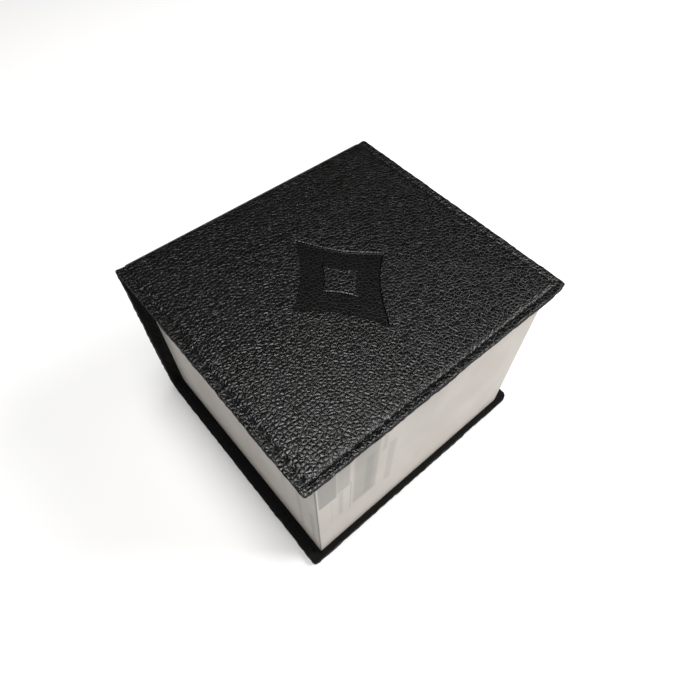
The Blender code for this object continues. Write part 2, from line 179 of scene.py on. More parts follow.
PIP_LENGTH = 0.0470
PIP_WIDTH = 0.0380
PIP_WAIST = 0.12
PIP_DEPTH = 0.00050
PIP_ISLAND = 0.42
PIP_CENTRE = (-0.0011, -0.0016)
PIP_SIDE_STEPS = 10

hinge_low, hinge_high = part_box("hinge_leather")
HINGE_BEND = hinge_high[2] - hinge_low[2]
LEFT, FRONT, BOTTOM = cad_low
RIGHT, REAR, TOP = cad_high
LID_RUN = REAR - HINGE_BEND - FRONT
SPINE_RUN = TOP - HINGE_BEND - BASE_BEND
BASE_RUN = REAR - BASE_BEND - FRONT
SPINE_START = LID_RUN + HINGE_BEND * math.pi / 2
SPINE_END = SPINE_START + SPINE_RUN
BASE_START = SPINE_END + BASE_BEND * math.pi / 2
HIDE_LENGTH = BASE_START + BASE_RUN


def wrap_around(across, along, depth):
    """Where a point of the flat hide comes to lie on the box, depth inside the outer face."""
    if along <= LID_RUN:
        return Vector((across, FRONT + along, TOP - depth))
    if along < SPINE_START:
        turn = (along - LID_RUN) / HINGE_BEND
        reach = HINGE_BEND - depth
        y = REAR - HINGE_BEND + reach * math.sin(turn)
        return Vector((across, y, TOP - HINGE_BEND + reach * math.cos(turn)))
    if along <= SPINE_END:
        return Vector((across, REAR - depth, TOP - HINGE_BEND - (along - SPINE_START)))
    if along < BASE_START:
        turn = (along - SPINE_END) / BASE_BEND
        reach = BASE_BEND - depth
        y = REAR - BASE_BEND + reach * math.cos(turn)
        return Vector((across, y, BOTTOM + BASE_BEND - reach * math.sin(turn)))
    return Vector((across, REAR - BASE_BEND - (along - BASE_START), BOTTOM + depth))


def wrap_piece(piece):
    """Bends a finished flat piece around the box."""
    for vertex in piece.data.vertices:
        x, y, z = vertex.co
        vertex.co = wrap_around(x, y, -z)
    piece.data.update()


def seam_lines(start, end, seam_from_edge, extra):
    """Grid lines across one direction of a hide: dense at its edges, four to a stitch between."""
    inner_start, inner_end = start + seam_from_edge, end - seam_from_edge
    count = round((inner_end - inner_start) / STITCH_PITCH) * LINES_PER_STITCH
    lines = [inner_start + (inner_end - inner_start) * k / count for k in range(count + 1)]
    for offset in (*EDGE_LINES, seam_from_edge - GROOVE_WIDTH, seam_from_edge - GROOVE_WIDTH / 2):
        lines += [start + offset, end - offset]
    lines += [inner_start + GROOVE_WIDTH / 2, inner_end - GROOVE_WIDTH / 2]
    return sorted(lines + list(extra))


def round_corner(across, along):
    """Draws a point near one of the hide's four corners in, so that its outline is an arc."""
    base_corner = BASE_CORNER_LEFT if across < 0 else BASE_CORNER_RIGHT
    radius = LID_CORNER if along < HIDE_LENGTH / 2 else base_corner
    side = -1 if across < 0 else 1
    end = -1 if along < HIDE_LENGTH / 2 else 1
    centre_x = side * ((RIGHT - LEFT) / 2 - radius)
    centre_y = radius if end < 0 else HIDE_LENGTH - radius
    a = (across - centre_x) * side
    b = (along - centre_y) * end
    if a <= 0 or b <= 0:
        return across, along
    shrink = max(a, b) / math.hypot(a, b)
    return centre_x + a * shrink * side, centre_y + b * shrink * end


def wander(seed, position):
    """A ragged line between -1 and 1: slow bends of the knife and torn fibres."""
    bends = noise.noise((position * 90.0, seed * 3.7, 0.5))
    tears = noise.noise((position * 640.0, seed * 5.1, 2.5))
    return max(-1.0, min(1.0, 1.2 * bends + 1.3 * tears))


def flat_hide(name, x_lines, y_lines, top, bottom):
    """A flat sheet between two heights, with its grid on the given lines and its cut edges."""
    bpy.ops.object.select_all(action="DESELECT")
    columns, rows = len(x_lines) - 1, len(y_lines) - 1
    bpy.ops.mesh.primitive_grid_add(x_subdivisions=columns, y_subdivisions=rows, size=1.0)
    hide = bpy.context.object
    hide.name = hide.data.name = name
    for vertex in hide.data.vertices:
        column = round((vertex.co.x + 0.5) * columns)
        row = round((vertex.co.y + 0.5) * rows)
        vertex.co = (x_lines[column], y_lines[row], top)
    bpy.ops.object.mode_set(mode="EDIT")
    bpy.ops.mesh.select_all(action="SELECT")
    bpy.ops.mesh.extrude_region_move(TRANSFORM_OT_translate={"value": (0, 0, bottom - top)})
    bpy.ops.mesh.select_all(action="SELECT")
    bpy.ops.mesh.normals_make_consistent(inside=False)
    bpy.ops.object.mode_set(mode="OBJECT")
    for face in hide.data.polygons:
        face.material_index = 1 if abs(face.normal.z) < 0.5 else 0
    return hide


def edge_distances(across, along):
    """Distances from the hide's side edge and from its end edge."""
    from_side = (RIGHT - LEFT) / 2 - abs(across)
    from_end = min(along, HIDE_LENGTH - along)
    return from_side, from_end


def stitch_phase(position, start, end):
    """How far a place along a seam is through its stitch, from 0 to 1."""
    count = round((end - start) / STITCH_PITCH)
    return (position - start) / (end - start) * count % 1.0


def seam_sink(across, along):
    """How far the sewing pulls the surface down: a groove, deeper under each stitch."""
    from_side, from_end = edge_distances(across, along)
    side_gap = abs(from_side - SEAM_FROM_SIDE)
    end_gap = abs(from_end - SEAM_FROM_FORE_EDGE)
    sink = 0.0
    if from_end > SEAM_FROM_FORE_EDGE - GROOVE_WIDTH:
        phase = stitch_phase(along, SEAM_FROM_FORE_EDGE, HIDE_LENGTH - SEAM_FROM_FORE_EDGE)
        depth = GROOVE_BETWEEN + GROOVE_AT_STITCH * math.sin(math.pi * phase) ** 2
        sink = depth * math.exp(-((side_gap / GROOVE_WIDTH) ** 2))
    if from_side > SEAM_FROM_SIDE - GROOVE_WIDTH:
        phase = stitch_phase(across, LEFT + SEAM_FROM_SIDE, RIGHT - SEAM_FROM_SIDE)
        depth = GROOVE_BETWEEN + GROOVE_AT_STITCH * math.sin(math.pi * phase) ** 2
        sink = max(sink, depth * math.exp(-((end_gap / GROOVE_WIDTH) ** 2)))
    return sink


def edge_roll(across, along):
    """How far the surface rounds over towards the nearest cut edge."""
    nearest = min(edge_distances(across, along))
    for (near, low), (far, high) in zip(
        zip(EDGE_LINES, EDGE_ROLL), zip(EDGE_LINES[1:], EDGE_ROLL[1:])
    ):
        if nearest <= far:
            return low + (high - low) * (nearest - near) / (far - near)
    return 0.0


def cut_edges(hide, seed, inset):
    """Lets the cut edge wander a little, a share of it on the lines just inside."""
    for vertex in hide.data.vertices:
        x, y, z = vertex.co
        from_side, from_end = edge_distances(x, y)
        lift = z * CUT_LEAN
        if from_side < SEAM_FROM_SIDE / 2:
            share = 1 - from_side / (SEAM_FROM_SIDE / 2)
            x -= math.copysign(share * (inset + CUT_WANDER * (1 + wander(seed, y + lift))), x)
        if from_end < SEAM_FROM_FORE_EDGE / 2:
            share = 1 - from_end / (SEAM_FROM_FORE_EDGE / 2)
            shift = share * (inset + CUT_WANDER * (1 + wander(seed + 1, x + lift)))
            y += shift if y < HIDE_LENGTH / 2 else -shift
        vertex.co.x, vertex.co.y = round_corner(x, y)


def apply_modifier(piece, kind, **settings):
    """Adds one modifier to the piece and applies it."""
    bpy.ops.object.select_all(action="DESELECT")
    piece.select_set(True)
    bpy.context.view_layer.objects.active = piece
    bpy.ops.object.modifier_add(type=kind)
    modifier = piece.modifiers[-1]
    for name, value in settings.items():
        setattr(modifier, name, value)
    bpy.ops.object.modifier_apply(modifier=modifier.name)


def diamond_die(name, scale, stages):
    """A press die: the diamond's outline raised through stages of (height, growth)."""
    bpy.ops.object.select_all(action="DESELECT")
    bpy.ops.mesh.primitive_circle_add(vertices=4 * PIP_SIDE_STEPS, radius=1.0, fill_type="NGON")
    die = bpy.context.object
    die.name = name
    middle = Vector((PIP_CENTRE[0], PIP_CENTRE[1] - FRONT, 0.0))
    tips = [(0, PIP_LENGTH / 2), (-PIP_WIDTH / 2, 0), (0, -PIP_LENGTH / 2), (PIP_WIDTH / 2, 0)]
    for vertex in die.data.vertices:
        quarter = (math.atan2(vertex.co.y, vertex.co.x) / (math.pi / 2) - 1) % 4
        corner = int(quarter + 1e-4) % 4
        t = quarter - int(quarter + 1e-4)
        a, b = tips[corner], tips[(corner + 1) % 4]
        pull = scale * (1 - PIP_WAIST * math.sin(math.pi * t))
        x = (a[0] * (1 - t) + b[0] * t) * pull
        y = (a[1] * (1 - t) + b[1] * t) * pull
        vertex.co = middle + Vector((x, y, stages[0][0]))
    bpy.ops.object.mode_set(mode="EDIT")
    bpy.ops.mesh.select_all(action="SELECT")
    for (low, grown), (high, grows) in zip(stages, stages[1:]):
        bpy.ops.mesh.extrude_region_move(TRANSFORM_OT_translate={"value": (0, 0, high - low)})
        ratio = grows / grown
        bpy.ops.transform.resize(value=(ratio, ratio, 1.0), center_override=middle)
    bpy.ops.mesh.select_all(action="SELECT")
    bpy.ops.mesh.normals_make_consistent(inside=False)
    bpy.ops.object.mode_set(mode="OBJECT")
    return die


hide_x = seam_lines(LEFT, RIGHT, SEAM_FROM_SIDE, ())
hide_y = seam_lines(0.0, HIDE_LENGTH, SEAM_FROM_FORE_EDGE, ())
cover_leather = flat_hide("cover_leather", hide_x, hide_y, 0.0, -LEATHER)
for vertex in cover_leather.data.vertices:
    if vertex.co.z > -LEATHER / 2:
        x, y, z = vertex.co
        vertex.co.z = z - seam_sink(x, y) - edge_roll(x, y)
cut_edges(cover_leather, 1, 0.0)

outer_die = diamond_die(
    "outer_die", 1.0,
    [(-PIP_DEPTH, 0.985), (-0.90 * PIP_DEPTH, 0.992), (-0.50 * PIP_DEPTH, 1.000),
     (-0.26 * PIP_DEPTH, 1.009), (-0.10 * PIP_DEPTH, 1.022), (0.0, 1.040), (0.001, 1.09)],
)
island_die = diamond_die(
    "island_die", PIP_ISLAND,
    [(-2 * PIP_DEPTH, 1.03), (-0.90 * PIP_DEPTH, 1.02), (-0.50 * PIP_DEPTH, 0.995),
     (-0.26 * PIP_DEPTH, 0.965), (-0.10 * PIP_DEPTH, 0.925), (0.0, 0.87), (0.002, 0.80)],
)
apply_modifier(outer_die, "BOOLEAN", operation="DIFFERENCE", solver="EXACT", object=island_die)
apply_modifier(cover_leather, "BOOLEAN", operation="DIFFERENCE", solver="EXACT", object=outer_die)
bpy.data.objects.remove(outer_die)
bpy.data.objects.remove(island_die)

pressed = cover_leather.data.attributes.new("pressed", "FLOAT", "POINT")
pip_middle_y = PIP_CENTRE[1] - FRONT
for vertex in cover_leather.data.vertices:
    inside = abs(vertex.co.x - PIP_CENTRE[0]) / PIP_WIDTH + abs(vertex.co.y - pip_middle_y) / PIP_LENGTH
    deep = min(1.0, max(0.0, (-vertex.co.z / PIP_DEPTH - 0.25) / 0.5))
    pressed.data[vertex.index].value = deep if inside < 0.56 and vertex.co.z > -0.9 * LEATHER else 0.0
hide_way = cover_leather.data.uv_layers.new(name="hide_way")
for loop in cover_leather.data.loops:
    hide_way.data[loop.index].uv = cover_leather.data.vertices[loop.vertex_index].co.xy
wrap_piece(cover_leather)


def new_group(name, inputs, outputs):
    """An empty shader node group with its sockets, and its input and output nodes."""
    group = bpy.data.node_groups.new(name, "ShaderNodeTree")
    for socket, kind in inputs:
        group.interface.new_socket(socket, in_out="INPUT", socket_type=kind)
    for socket, kind in outputs:
        group.interface.new_socket(socket, in_out="OUTPUT", socket_type=kind)
    given = group.nodes.new("NodeGroupInput").outputs
    result = group.nodes.new("NodeGroupOutput").inputs
    return group, given, result


def use_group(tree, group, values):
    """A group placed in a material with its own values and links."""
    placed = add_node(tree, "ShaderNodeGroup", node_tree=group)
    for name, value in values.items():
        if isinstance(value, bpy.types.NodeSocket):
            tree.links.new(value, placed.inputs[name])
        else:
            placed.inputs[name].default_value = value
    return placed


def math_node(tree, operation, a, b=None, c=None, clamp=False):
    """One arithmetic step."""
    values = {0: a}
    if b is not None:
        values[1] = b
    if c is not None:
        values[2] = c
    made = tree.nodes.new("ShaderNodeMath")
    made.operation = operation
    made.use_clamp = clamp
    for index, value in values.items():
        if isinstance(value, bpy.types.NodeSocket):
            tree.links.new(value, made.inputs[index])
        else:
            made.inputs[index].default_value = value
    return made.outputs[0]


def fit_range(tree, value, low, high, to_low=0.0, to_high=1.0):
    """Maps a value from one range to another."""
    made = add_node(
        tree, "ShaderNodeMapRange",
        {"Value": value, "From Min": low, "From Max": high, "To Min": to_low, "To Max": to_high},
        interpolation_type="SMOOTHSTEP",
    )
    return made.outputs["Result"]


def mix_colour(tree, factor, a, b):
    """Two colours mixed by a factor."""
    made = tree.nodes.new("ShaderNodeMix")
    made.data_type = "RGBA"
    for socket, value in ((made.inputs[0], factor), (made.inputs[6], a), (made.inputs[7], b)):
        if isinstance(value, bpy.types.NodeSocket):
            tree.links.new(value, socket)
        else:
            socket.default_value = value
    return made.outputs[2]


# Pebbled grain: irregular rounded pebbles between creases, with a finer crackle on top; the leather's
# colour is painted darker in the creases as shade
pebble_grain, given, result = new_group(
    "pebble_grain",
    [("Size", "NodeSocketFloat"), ("Crease", "NodeSocketFloat")],
    [("Height", "NodeSocketFloat"), ("Creases", "NodeSocketFloat"), ("Patch", "NodeSocketFloat")],
)
place = add_node(pebble_grain, "ShaderNodeUVMap", uv_map="hide_way").outputs["UV"]
drift = add_node(
    pebble_grain, "ShaderNodeTexNoise", {"Vector": place, "Scale": 420.0, "Detail": 2.0}
).outputs["Color"]
centred = add_node(
    pebble_grain, "ShaderNodeVectorMath", {0: drift, 1: (0.5, 0.5, 0.5)}, operation="SUBTRACT"
).outputs[0]
warped = add_node(
    pebble_grain, "ShaderNodeVectorMath", {0: centred, 1: (0.0011, 0.0011, 0.0011), 2: place},
    operation="MULTIPLY_ADD",
).outputs[0]
per_metre = math_node(pebble_grain, "DIVIDE", 1.0, given["Size"])
edges = add_node(
    pebble_grain, "ShaderNodeTexVoronoi", {"Vector": warped, "Scale": per_metre},
    voronoi_dimensions="2D", feature="DISTANCE_TO_EDGE",
).outputs["Distance"]
cells = add_node(
    pebble_grain, "ShaderNodeTexVoronoi", {"Vector": warped, "Scale": per_metre},
    voronoi_dimensions="2D", feature="F1",
)
crease = fit_range(pebble_grain, edges, 0.0, given["Crease"])
round_top = fit_range(pebble_grain, edges, 0.0, 0.42)
finer = math_node(pebble_grain, "MULTIPLY", per_metre, 2.4)
crackle = add_node(
    pebble_grain, "ShaderNodeTexVoronoi", {"Vector": warped, "Scale": finer},
    voronoi_dimensions="2D", feature="DISTANCE_TO_EDGE",
).outputs["Distance"]
crackle = fit_range(pebble_grain, crackle, 0.0, 0.16)
pores = add_node(
    pebble_grain, "ShaderNodeTexNoise", {"Vector": place, "Scale": 4200.0, "Detail": 3.0}
).outputs["Fac"]
tall = add_node(pebble_grain, "ShaderNodeSeparateColor", {"Color": cells.outputs["Color"]}).outputs[0]
height = math_node(pebble_grain, "MULTIPLY", round_top, fit_range(pebble_grain, tall, 0.0, 1.0, 0.5, 1.0))
height = math_node(pebble_grain, "MULTIPLY_ADD", crease, 0.62, height)
height = math_node(pebble_grain, "MULTIPLY_ADD", crackle, 0.17, height)
height = math_node(pebble_grain, "MULTIPLY_ADD", pores, 0.12, height)
swell = add_node(
    pebble_grain, "ShaderNodeTexNoise", {"Vector": place, "Scale": 260.0, "Detail": 1.0}
).outputs["Fac"]
height = math_node(pebble_grain, "MULTIPLY_ADD", swell, 1.3, height)
pebble_grain.links.new(height, result["Height"])
pebble_grain.links.new(math_node(pebble_grain, "SUBTRACT", 1.0, crease), result["Creases"])
patch = add_node(
    pebble_grain, "ShaderNodeTexNoise", {"Vector": place, "Scale": 28.0, "Detail": 3.0}
).outputs["Fac"]
pebble_grain.links.new(fit_range(pebble_grain, patch, 0.3, 0.7), result["Patch"])

PEBBLE_BLACK = (0.0022, 0.0021, 0.0020, 1)
# Painted shade for the creases of the grain
CREASE_PAINTED_SHADE = (0.0005, 0.0005, 0.0005, 1)
PRESSED_BLACK = (0.0018, 0.0018, 0.0017, 1)
PEBBLE_SIZE = 0.00138
CREASE_WIDTH = 0.100
GRAIN_RELIEF = 0.00009

black_leather, tree, shader = new_material("black_leather", Specular_IOR_Level=0.42)
grain = use_group(tree, pebble_grain, {"Size": PEBBLE_SIZE, "Crease": CREASE_WIDTH})
pressed_share = add_node(tree, "ShaderNodeAttribute", attribute_name="pressed").outputs["Fac"]
# The creases get a darker colour: painted shade in the creases
colour = mix_colour(tree, grain.outputs["Creases"], PEBBLE_BLACK, CREASE_PAINTED_SHADE)
colour = mix_colour(tree, pressed_share, colour, PRESSED_BLACK)
tree.links.new(colour, shader.inputs["Base Color"])
rough = fit_range(tree, grain.outputs["Creases"], 0.0, 1.0, 0.22, 0.40)
rough = math_node(tree, "MULTIPLY_ADD", grain.outputs["Patch"], 0.05, rough)
tree.links.new(rough, shader.inputs["Roughness"])
flattened = fit_range(tree, pressed_share, 0.0, 1.0, 1.0, 0.22)
height = math_node(tree, "MULTIPLY", grain.outputs["Height"], flattened)
bump = add_node(tree, "ShaderNodeBump", {"Height": height, "Distance": GRAIN_RELIEF, "Strength": 1.0})
tree.links.new(bump.outputs["Normal"], shader.inputs["Normal"])

# Raw cut edge of the hide: dyed fibres, matt and slightly furry
raw_edge, tree, shader = new_material("raw_leather_edge", Specular_IOR_Level=0.2)
place = add_node(tree, "ShaderNodeTexCoord").outputs["Object"]
fibres = add_node(
    tree, "ShaderNodeTexNoise", {"Vector": place, "Scale": 3800.0, "Detail": 4.0}
).outputs["Fac"]
lumps = add_node(
    tree, "ShaderNodeTexNoise", {"Vector": place, "Scale": 900.0, "Detail": 2.0}
).outputs["Fac"]
colour = mix_colour(tree, fibres, (0.0025, 0.0025, 0.0025, 1), (0.014, 0.013, 0.012, 1))
tree.links.new(colour, shader.inputs["Base Color"])
tree.links.new(fit_range(tree, lumps, 0.2, 0.8, 0.7, 0.95), shader.inputs["Roughness"])
height = math_node(tree, "MULTIPLY_ADD", fibres, 0.4, lumps)
bump = add_node(tree, "ShaderNodeBump", {"Height": height, "Distance": 0.00022, "Strength": 1.0})
tree.links.new(bump.outputs["Normal"], shader.inputs["Normal"])

cover_leather.data.materials.append(black_leather)
cover_leather.data.materials.append(raw_edge)


def smooth_piece(piece, angle):
    """Shades the piece smooth up to an angle, with normals led by its larger faces."""
    bpy.ops.object.select_all(action="DESELECT")
    piece.select_set(True)
    bpy.context.view_layer.objects.active = piece
    bpy.ops.object.shade_smooth_by_angle(angle=math.radians(angle))
    apply_modifier(piece, "WEIGHTED_NORMAL", keep_sharp=True)


smooth_piece(cover_leather, SMOOTH_ANGLE)
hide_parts("lid_leather", "hinge_leather", "back_leather")

# Two distances from the hinge, between the spine's top and the lid's board, handed to fold_at_hinge
OUTER_FOLD = (-0.0017, 0.0027)


def fold_at_hinge(piece, start, end):
    """Bakes the piece's transform into its mesh; it bends nothing. start and end, two distances from the
    hinge along the fold's way, are not used.
    """
    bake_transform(piece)


fold_at_hinge(cover_leather, *OUTER_FOLD)

# ---- Lining -------------------------------------------------------------------------------------
# Black napped lining glued to the flesh side of the hide over the boards. Its margin meets the
# leather around each board, and it shows on the overhang of the lid, the spine and the base.
LINING_OUT = 0.0012
LINING_OVER_BOARD = 0.0020
COVER = 0.0024
BOARD_CLEAR = 0.0002
MARGIN_SLOPE = 0.0004
LINING_INSET = 0.00008
INNER_FOLD = (-0.0012, 0.0015)


def board_span(node, along_of):
    """A board's outline on the flat hide: low and high across, low and high along."""
    low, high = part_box(node)
    ends = sorted((along_of(low), along_of(high)))
    clear = BOARD_CLEAR
    return low[0] - clear, high[0] + clear, ends[0] - clear, ends[1] + clear


board_spans = [
    board_span("lid_board", lambda p: p[1] - FRONT),
    board_span("spine_board", lambda p: SPINE_START + TOP - HINGE_BEND - p[2]),
    board_span("base_board", lambda p: BASE_START + REAR - BASE_BEND - p[1]),
]


def over_board(across, along):
    """True where a board lies between the lining and the leather."""
    return any(
        x0 - 1e-6 <= across <= x1 + 1e-6 and y0 - 1e-6 <= along <= y1 + 1e-6
        for x0, x1, y0, y1 in board_spans
    )


extra_x = [board_spans[0][0], board_spans[0][0] - MARGIN_SLOPE]
extra_x += [board_spans[0][1], board_spans[0][1] + MARGIN_SLOPE]
extra_y = []
for span in board_spans:
    extra_y += [span[2] - MARGIN_SLOPE, span[2], span[3], span[3] + MARGIN_SLOPE]
lining_x = seam_lines(LEFT, RIGHT, SEAM_FROM_SIDE, extra_x)
lining_y = seam_lines(0.0, HIDE_LENGTH, SEAM_FROM_FORE_EDGE, extra_y)
cover_lining = flat_hide("cover_lining", lining_x, lining_y, -LINING_OUT, -COVER)
for vertex in cover_lining.data.vertices:
    x, y, z = vertex.co
    if z > -(LINING_OUT + COVER) / 2:
        vertex.co.z = -LINING_OVER_BOARD if over_board(x, y) else z
    else:
        vertex.co.z = z + 0.8 * seam_sink(x, y) + 0.7 * edge_roll(x, y)
cut_edges(cover_lining, 3, LINING_INSET)
wrap_piece(cover_lining)

# Nap: short fibres brushed one way, in clouds of lighter and darker
brushed_nap, given, result = new_group(
    "brushed_nap", [("Size", "NodeSocketFloat")],
    [("Height", "NodeSocketFloat"), ("Cloud", "NodeSocketFloat")],
)
place = add_node(brushed_nap, "ShaderNodeTexCoord").outputs["Object"]
per_metre = math_node(brushed_nap, "DIVIDE", 1.0, given["Size"])
stretched = add_node(
    brushed_nap, "ShaderNodeMapping", {"Vector": place, "Scale": (1.0, 0.45, 1.0)}
).outputs[0]
hairs = add_node(
    brushed_nap, "ShaderNodeTexNoise", {"Vector": stretched, "Scale": per_metre, "Detail": 5.0}
).outputs["Fac"]
clouds = add_node(
    brushed_nap, "ShaderNodeTexNoise", {"Vector": place, "Scale": 90.0, "Detail": 3.0}
).outputs["Fac"]
brushed_nap.links.new(hairs, result["Height"])
brushed_nap.links.new(fit_range(brushed_nap, clouds, 0.25, 0.75, 0.0, 0.4), result["Cloud"])

black_nap, tree, shader = new_material(
    "black_nap", Specular_IOR_Level=0.12, Sheen_Weight=0.02, Sheen_Roughness=0.5
)
nap = use_group(tree, brushed_nap, {"Size": 0.00035})
colour = mix_colour(tree, nap.outputs["Height"], (0.0020, 0.0020, 0.0020, 1), (0.0090, 0.0087, 0.0084, 1))
colour = mix_colour(tree, nap.outputs["Cloud"], colour, (0.0050, 0.0050, 0.0050, 1))
tree.links.new(colour, shader.inputs["Base Color"])
tree.links.new(fit_range(tree, nap.outputs["Cloud"], 0, 1, 0.8, 0.95), shader.inputs["Roughness"])
bump = add_node(
    tree, "ShaderNodeBump", {"Height": nap.outputs["Height"], "Distance": 0.00015, "Strength": 0.8}
)
tree.links.new(bump.outputs["Normal"], shader.inputs["Normal"])

cover_lining.data.materials.append(black_nap)
cover_lining.data.materials.append(raw_edge)
smooth_piece(cover_lining, SMOOTH_ANGLE)
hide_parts("lid_lining", "hinge_lining", "back_lining")
fold_at_hinge(cover_lining, *INNER_FOLD)

# ---- Stitching ----------------------------------------------------------------------------------
# Black bonded two-ply thread in a lock stitch: one row around the cover, the needle thread lying
# in the groove of the leather and the bobbin thread on the lining. Each stitch is one short arch
# that dives into its needle holes.
STITCH_LENGTH = 0.0031
THREAD_ACROSS = 0.00072
THREAD_HIGH = 0.00046
STITCH_DIVE = 0.00060
STITCH_SLANT = 4.0
STITCH_SIDES = 6
STITCH_CUTS = 7
NEEDLE_SINK = 0.00042
BOBBIN_SINK = 0.00018


def seam_stations():
    """Each stitch's middle on the flat hide and the way it runs, in degrees from x."""
    stations = []
    run_start, run_end = SEAM_FROM_FORE_EDGE, HIDE_LENGTH - SEAM_FROM_FORE_EDGE
    count = round((run_end - run_start) / STITCH_PITCH)
    for k in range(count):
        y = run_start + (run_end - run_start) * (k + 0.5) / count
        stations += [(LEFT + SEAM_FROM_SIDE, y, 90.0), (RIGHT - SEAM_FROM_SIDE, y, 90.0)]
    run_start, run_end = LEFT + SEAM_FROM_SIDE, RIGHT - SEAM_FROM_SIDE
    count = round((run_end - run_start) / STITCH_PITCH)
    for k in range(count):
        x = run_start + (run_end - run_start) * (k + 0.5) / count
        stations += [(x, SEAM_FROM_FORE_EDGE, 0.0), (x, HIDE_LENGTH - SEAM_FROM_FORE_EDGE, 0.0)]
    return stations


def one_stitch():
    """A flattened thread along x, arched, its ends sunk, with a UV map along and around it."""
    bpy.ops.object.select_all(action="DESELECT")
    bpy.ops.mesh.primitive_cylinder_add(
        vertices=STITCH_SIDES, radius=0.5, depth=1.0, rotation=(0.0, math.pi / 2, 0.0)
    )
    stitch = bpy.context.object
    bpy.ops.object.transform_apply(location=True, rotation=True, scale=True)
    bpy.ops.object.mode_set(mode="EDIT")
    bm = bmesh.from_edit_mesh(stitch.data)
    for edge in bm.edges:
        edge.select_set(abs(edge.verts[0].co.x - edge.verts[1].co.x) > 0.5)
    bmesh.update_edit_mesh(stitch.data)
    bpy.ops.mesh.subdivide(number_cuts=STITCH_CUTS)
    bpy.ops.object.mode_set(mode="OBJECT")
    uv = stitch.data.uv_layers.active
    for loop in stitch.data.loops:
        co = stitch.data.vertices[loop.vertex_index].co
        turn = math.atan2(co.z, co.y) / (2 * math.pi)
        uv.data[loop.index].uv = (co.x + 0.5, turn % 1.0)
    for vertex in stitch.data.vertices:
        x, y, z = vertex.co
        taper = 1 - 0.45 * (2 * abs(x)) ** 6
        arch = 1 - (2 * abs(x)) ** 4
        vertex.co = (
            x * STITCH_LENGTH,
            y * THREAD_ACROSS * taper,
            z * THREAD_HIGH * taper - STITCH_DIVE * (1 - arch),
        )
    return stitch


def sew(name, surface, outward, seed):
    """Lays a copy of the stitch at every station, level with a face of the flat hide."""
    stitch = one_stitch()
    chance = random.Random(seed)
    copies = []
    for x, y, way in seam_stations():
        copy = stitch.copy()
        copy.data = stitch.data.copy()
        bpy.context.scene.collection.objects.link(copy)
        turn = Matrix.Rotation(math.radians(way + STITCH_SLANT + chance.uniform(-1.5, 1.5)), 4, "Z")
        flip = Matrix.Diagonal((1.0, outward, outward, 1.0))
        lift = surface + outward * chance.uniform(-0.00004, 0.00003)
        copy.data.transform(Matrix.Translation((x, y, lift)) @ flip @ turn)
        copies.append(copy)
    bpy.data.objects.remove(stitch)
    bpy.ops.object.select_all(action="DESELECT")
    for copy in copies:
        copy.select_set(True)
    bpy.context.view_layer.objects.active = copies[0]
    bpy.ops.object.join()
    row = bpy.context.object
    row.name = row.data.name = name
    bpy.ops.object.shade_smooth()
    wrap_piece(row)
    return row


black_thread, tree, shader = new_material("black_thread", Specular_IOR_Level=0.15)
uv_map = add_node(tree, "ShaderNodeUVMap", uv_map="UVMap")
twist = add_node(
    tree, "ShaderNodeMapping", {"Vector": uv_map.outputs[0], "Scale": (7.0, 1.0, 1.0)}
).outputs[0]
split = add_node(tree, "ShaderNodeSeparateXYZ", {"Vector": twist})
ply = math_node(tree, "ADD", split.outputs[0], split.outputs[1])
ply = math_node(tree, "SINE", math_node(tree, "MULTIPLY", ply, 2 * math.pi))
place = add_node(tree, "ShaderNodeTexCoord").outputs["Object"]
fuzz = add_node(
    tree, "ShaderNodeTexNoise", {"Vector": place, "Scale": 9000.0, "Detail": 2.0}
).outputs["Fac"]
# The colour follows the ply's wave: painted shade in the grooves between the plies
colour = mix_colour(
    tree, fit_range(tree, ply, -1.0, 1.0), (0.0015, 0.0015, 0.0015, 1), (0.0050, 0.0049, 0.0048, 1)
)
tree.links.new(colour, shader.inputs["Base Color"])
tree.links.new(fit_range(tree, fuzz, 0.2, 0.8, 0.5, 0.72), shader.inputs["Roughness"])
height = math_node(tree, "MULTIPLY_ADD", fuzz, 0.35, ply)
bump = add_node(tree, "ShaderNodeBump", {"Height": height, "Distance": 0.00006, "Strength": 0.9})
tree.links.new(bump.outputs["Normal"], shader.inputs["Normal"])

needle_stitches = sew("needle_stitches", -NEEDLE_SINK, 1.0, 11)
needle_stitches.data.materials.append(black_thread)
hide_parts("lid_needle_thread", "back_needle_thread")
fold_at_hinge(needle_stitches, *OUTER_FOLD)

bobbin_stitches = sew("bobbin_stitches", -COVER + BOBBIN_SINK, -1.0, 12)
bobbin_stitches.data.materials.append(black_thread)
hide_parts("lid_bobbin_thread", "back_bobbin_thread")
fold_at_hinge(bobbin_stitches, *INNER_FOLD)

# ---- Tray's paper wrap --------------------------------------------------------------------------
# One sheet of off-white satin paper glued around the greyboard walls, turned in over the rim and
# under the floor. Pale grey bars are printed on it where the fore-edge meets the left side.
WRAP_PAPER = 0.0002
TURN_IN = 0.0150
TURN_UNDER = 0.0120
WRAP_CORNER = 0.00035
LINER_GAP = 0.0001
TOUCHING = 1e-5

wrap_low, wrap_high = (Vector(corner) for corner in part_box("tray_wrap"))
rim_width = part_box("tray_front_liner")[0][1] - LINER_GAP - wrap_low.y

bpy.ops.object.select_all(action="DESELECT")
bpy.ops.mesh.primitive_cube_add(size=1.0, location=(wrap_low + wrap_high) / 2)
tray_paper = bpy.context.object
tray_paper.name = tray_paper.data.name = "tray_paper"
tray_paper.scale = wrap_high - wrap_low
bpy.ops.object.transform_apply(location=True, rotation=True, scale=True)


def select_where(piece, kind, test):
    """In edit mode, selects exactly the faces or edges that pass a test."""
    bpy.ops.mesh.select_all(action="DESELECT")
    bpy.ops.mesh.select_mode(type="FACE" if kind == "faces" else "EDGE")
    bm = bmesh.from_edit_mesh(piece.data)
    for item in getattr(bm, kind):
        if test(item):
            item.select_set(True)
    bmesh.update_edit_mesh(piece.data)


def on_hull(vertex):
    """How many of the tray's outer planes a corner of its paper touches."""
    return sum(
        abs(vertex.co[axis] - end[axis]) < TOUCHING for axis in range(3) for end in (wrap_low, wrap_high)
    )


